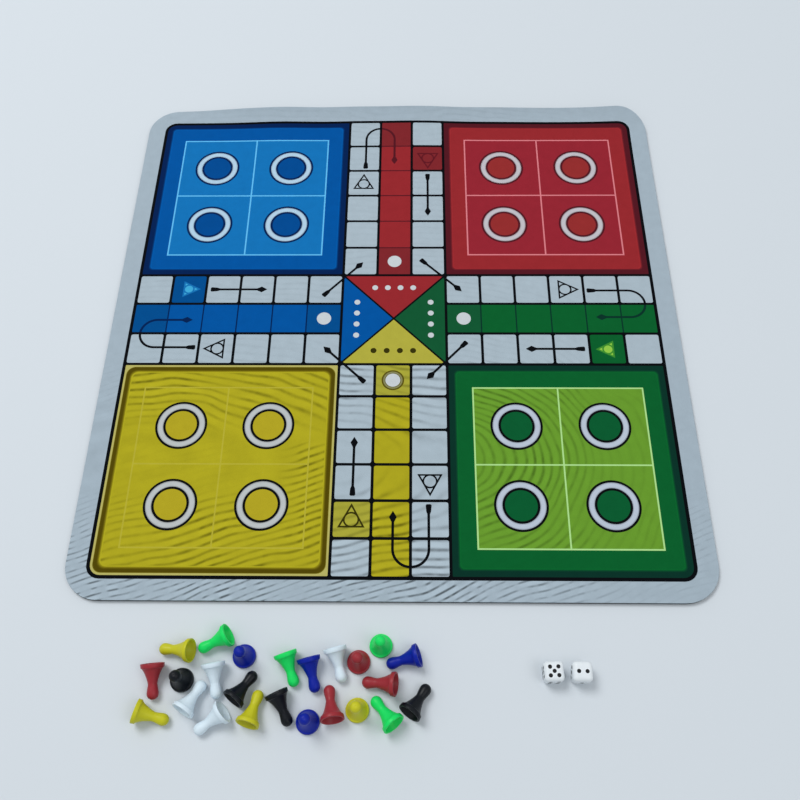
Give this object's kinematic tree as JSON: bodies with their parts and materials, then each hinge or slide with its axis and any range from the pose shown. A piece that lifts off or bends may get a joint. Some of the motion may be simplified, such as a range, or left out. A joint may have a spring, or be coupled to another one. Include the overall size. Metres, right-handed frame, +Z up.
{
  "type": "ludo board",
  "caption": "Soft square ludo mat of printed cloth on a rubber base, with hollow cone pawns in several colours and round-cornered dice lying in front of it.",
  "frame": {"origin": "middle of the mat's underside, on the table", "axes": "+Z up, +X to the player's right along the mat's front edge, +Y away from the player"},
  "size_m": [0.42, 0.4991, 0.021],
  "materials": {
    "rubber": "matte foamed sheet",
    "cloth": "fine woven polyester",
    "black_ink": "printed on the weave",
    "yellow_dye": "dyed weave",
    "blue_dye": "dyed weave",
    "red_dye": "dyed weave",
    "green_dye": "dyed weave",
    "yellow_plastic": "moulded, satin",
    "green_plastic": "moulded, satin",
    "red_plastic": "moulded, satin",
    "blue_plastic": "moulded, satin",
    "white_plastic": "moulded, satin",
    "black_plastic": "moulded, satin",
    "dice_plastic": "polished, with black paint in the pips"
  },
  "bodies": {
    "mat": {"rubber_base": "rubber", "cloth_face": "cloth", "yellow_print": "yellow_dye", "blue_print": "blue_dye", "red_print": "red_dye", "green_print": "green_dye", "black_line_print": "black_ink"},
    "yellow_pawn_1": {"yellow_pawn_1": "yellow_plastic"},
    "yellow_pawn_2": {"yellow_pawn_2": "yellow_plastic"},
    "yellow_pawn_3": {"yellow_pawn_3": "yellow_plastic"},
    "yellow_pawn_4": {"yellow_pawn_4": "yellow_plastic"},
    "green_pawn_1": {"green_pawn_1": "green_plastic"},
    "green_pawn_2": {"green_pawn_2": "green_plastic"},
    "green_pawn_3": {"green_pawn_3": "green_plastic"},
    "green_pawn_4": {"green_pawn_4": "green_plastic"},
    "red_pawn_1": {"red_pawn_1": "red_plastic"},
    "red_pawn_2": {"red_pawn_2": "red_plastic"},
    "red_pawn_3": {"red_pawn_3": "red_plastic"},
    "red_pawn_4": {"red_pawn_4": "red_plastic"},
    "blue_pawn_1": {"blue_pawn_1": "blue_plastic"},
    "blue_pawn_2": {"blue_pawn_2": "blue_plastic"},
    "blue_pawn_3": {"blue_pawn_3": "blue_plastic"},
    "blue_pawn_4": {"blue_pawn_4": "blue_plastic"},
    "white_pawn_1": {"white_pawn_1": "white_plastic"},
    "white_pawn_2": {"white_pawn_2": "white_plastic"},
    "white_pawn_3": {"white_pawn_3": "white_plastic"},
    "white_pawn_4": {"white_pawn_4": "white_plastic"},
    "black_pawn_1": {"black_pawn_1": "black_plastic"},
    "black_pawn_2": {"black_pawn_2": "black_plastic"},
    "black_pawn_3": {"black_pawn_3": "black_plastic"},
    "black_pawn_4": {"black_pawn_4": "black_plastic"},
    "five_up_die": {"five_up_die": "dice_plastic"},
    "two_up_die": {"two_up_die": "dice_plastic"}
  },
  "joints": [
    {"name": "yellow_pawn_1_lift", "type": "slide", "parent": "mat", "child": "yellow_pawn_1", "axis": [0, 0, 1], "range_m": [0, 0.06]},
    {"name": "yellow_pawn_2_lift", "type": "slide", "parent": "mat", "child": "yellow_pawn_2", "axis": [0, 0, 1], "range_m": [0, 0.06]},
    {"name": "yellow_pawn_3_lift", "type": "slide", "parent": "mat", "child": "yellow_pawn_3", "axis": [0, 0, 1], "range_m": [0, 0.06]},
    {"name": "yellow_pawn_4_lift", "type": "slide", "parent": "mat", "child": "yellow_pawn_4", "axis": [0, 0, 1], "range_m": [0, 0.06]},
    {"name": "green_pawn_1_lift", "type": "slide", "parent": "mat", "child": "green_pawn_1", "axis": [0, 0, 1], "range_m": [0, 0.06]},
    {"name": "green_pawn_2_lift", "type": "slide", "parent": "mat", "child": "green_pawn_2", "axis": [0, 0, 1], "range_m": [0, 0.06]},
    {"name": "green_pawn_3_lift", "type": "slide", "parent": "mat", "child": "green_pawn_3", "axis": [0, 0, 1], "range_m": [0, 0.06]},
    {"name": "green_pawn_4_lift", "type": "slide", "parent": "mat", "child": "green_pawn_4", "axis": [0, 0, 1], "range_m": [0, 0.06]},
    {"name": "red_pawn_1_lift", "type": "slide", "parent": "mat", "child": "red_pawn_1", "axis": [0, 0, 1], "range_m": [0, 0.06]},
    {"name": "red_pawn_2_lift", "type": "slide", "parent": "mat", "child": "red_pawn_2", "axis": [0, 0, 1], "range_m": [0, 0.06]},
    {"name": "red_pawn_3_lift", "type": "slide", "parent": "mat", "child": "red_pawn_3", "axis": [0, 0, 1], "range_m": [0, 0.06]},
    {"name": "red_pawn_4_lift", "type": "slide", "parent": "mat", "child": "red_pawn_4", "axis": [0, 0, 1], "range_m": [0, 0.06]},
    {"name": "blue_pawn_1_lift", "type": "slide", "parent": "mat", "child": "blue_pawn_1", "axis": [0, 0, 1], "range_m": [0, 0.06]},
    {"name": "blue_pawn_2_lift", "type": "slide", "parent": "mat", "child": "blue_pawn_2", "axis": [0, 0, 1], "range_m": [0, 0.06]},
    {"name": "blue_pawn_3_lift", "type": "slide", "parent": "mat", "child": "blue_pawn_3", "axis": [0, 0, 1], "range_m": [0, 0.06]},
    {"name": "blue_pawn_4_lift", "type": "slide", "parent": "mat", "child": "blue_pawn_4", "axis": [0, 0, 1], "range_m": [0, 0.06]},
    {"name": "white_pawn_1_lift", "type": "slide", "parent": "mat", "child": "white_pawn_1", "axis": [0, 0, 1], "range_m": [0, 0.06]},
    {"name": "white_pawn_2_lift", "type": "slide", "parent": "mat", "child": "white_pawn_2", "axis": [0, 0, 1], "range_m": [0, 0.06]},
    {"name": "white_pawn_3_lift", "type": "slide", "parent": "mat", "child": "white_pawn_3", "axis": [0, 0, 1], "range_m": [0, 0.06]},
    {"name": "white_pawn_4_lift", "type": "slide", "parent": "mat", "child": "white_pawn_4", "axis": [0, 0, 1], "range_m": [0, 0.06]},
    {"name": "black_pawn_1_lift", "type": "slide", "parent": "mat", "child": "black_pawn_1", "axis": [0, 0, 1], "range_m": [0, 0.06]},
    {"name": "black_pawn_2_lift", "type": "slide", "parent": "mat", "child": "black_pawn_2", "axis": [0, 0, 1], "range_m": [0, 0.06]},
    {"name": "black_pawn_3_lift", "type": "slide", "parent": "mat", "child": "black_pawn_3", "axis": [0, 0, 1], "range_m": [0, 0.06]},
    {"name": "black_pawn_4_lift", "type": "slide", "parent": "mat", "child": "black_pawn_4", "axis": [0, 0, 1], "range_m": [0, 0.06]},
    {"name": "five_up_die_lift", "type": "slide", "parent": "mat", "child": "five_up_die", "axis": [0, 0, 1], "range_m": [0, 0.06]},
    {"name": "two_up_die_lift", "type": "slide", "parent": "mat", "child": "two_up_die", "axis": [0, 0, 1], "range_m": [0, 0.06]}
  ]
}
